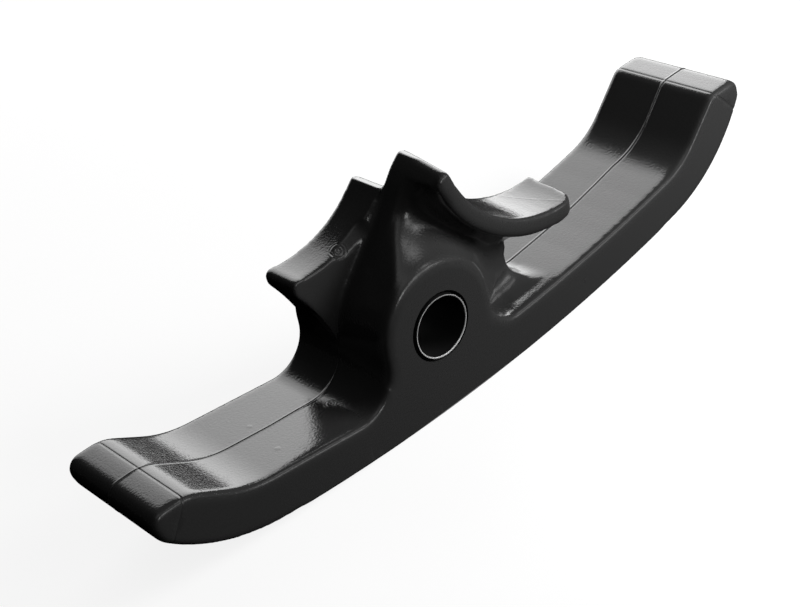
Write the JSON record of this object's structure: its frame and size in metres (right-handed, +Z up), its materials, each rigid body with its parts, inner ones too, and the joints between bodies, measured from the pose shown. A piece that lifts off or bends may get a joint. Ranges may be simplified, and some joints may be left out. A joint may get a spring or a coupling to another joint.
{
  "type": "bicycle chain guide",
  "caption": "Curved glossy black plastic chain guide: a long arched bar with a bushed pivot boss in the middle and staggered claws above it, one leaning over each arm.",
  "frame": {"origin": "on the axis of the pivot bore, in the mid-plane of the bar's width", "axes": "+X along the bar towards its higher, longer end, +Y along the pivot bore away from the viewer of the picture, +Z up from the sole towards the claws"},
  "size_m": [0.1048, 0.0188, 0.0312],
  "materials": {
    "moulding": "glossy black, injection moulded",
    "bush": "turned metal, bright at the ends"
  },
  "bodies": {
    "root": {"guide_body": "moulding", "pivot_bush": "bush"}
  },
  "joints": []
}
